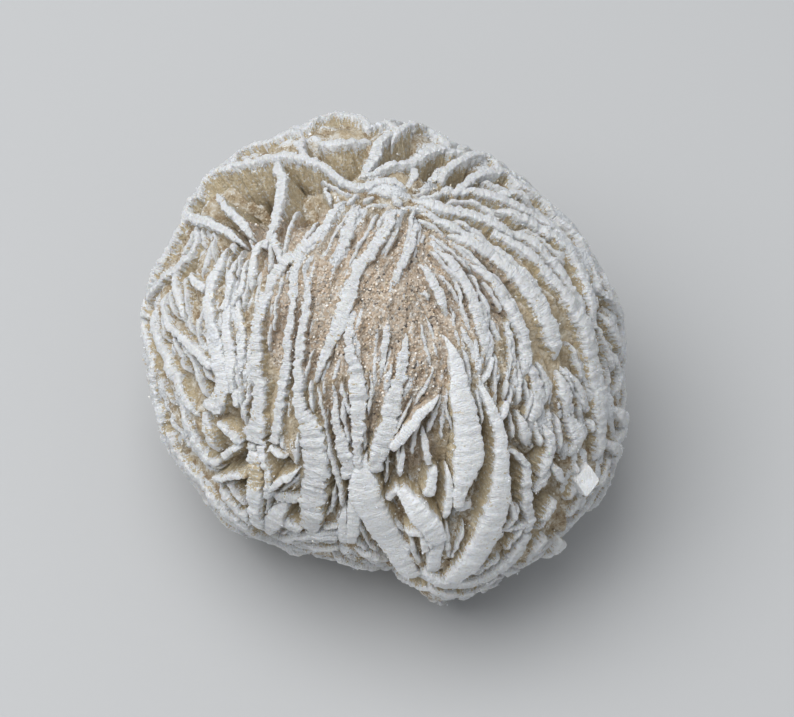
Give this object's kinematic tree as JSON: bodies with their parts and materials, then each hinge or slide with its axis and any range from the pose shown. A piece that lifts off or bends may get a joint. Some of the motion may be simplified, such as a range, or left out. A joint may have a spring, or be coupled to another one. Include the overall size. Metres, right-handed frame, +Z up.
{
  "type": "gypsum sand rose",
  "caption": "Rounded desert-rose stone: a rosette of white-crusted, lens-shaped gypsum crystals over honey faces and a sandy heart, lying on a small worn flat.",
  "frame": {"origin": "middle of the object's box, on the surface that it lies on", "axes": "+Z up from the rest flat, +X to the right of the show face, which looks towards -Y and up at 60 degrees"},
  "size_m": [0.0488, 0.0472, 0.0398],
  "materials": {
    "gypsum": "chalky white crests on translucent honey selenite sides, with pale tan sand caught in the grooves"
  },
  "bodies": {
    "root": {"gypsum_sand_rose": "gypsum"}
  },
  "joints": []
}
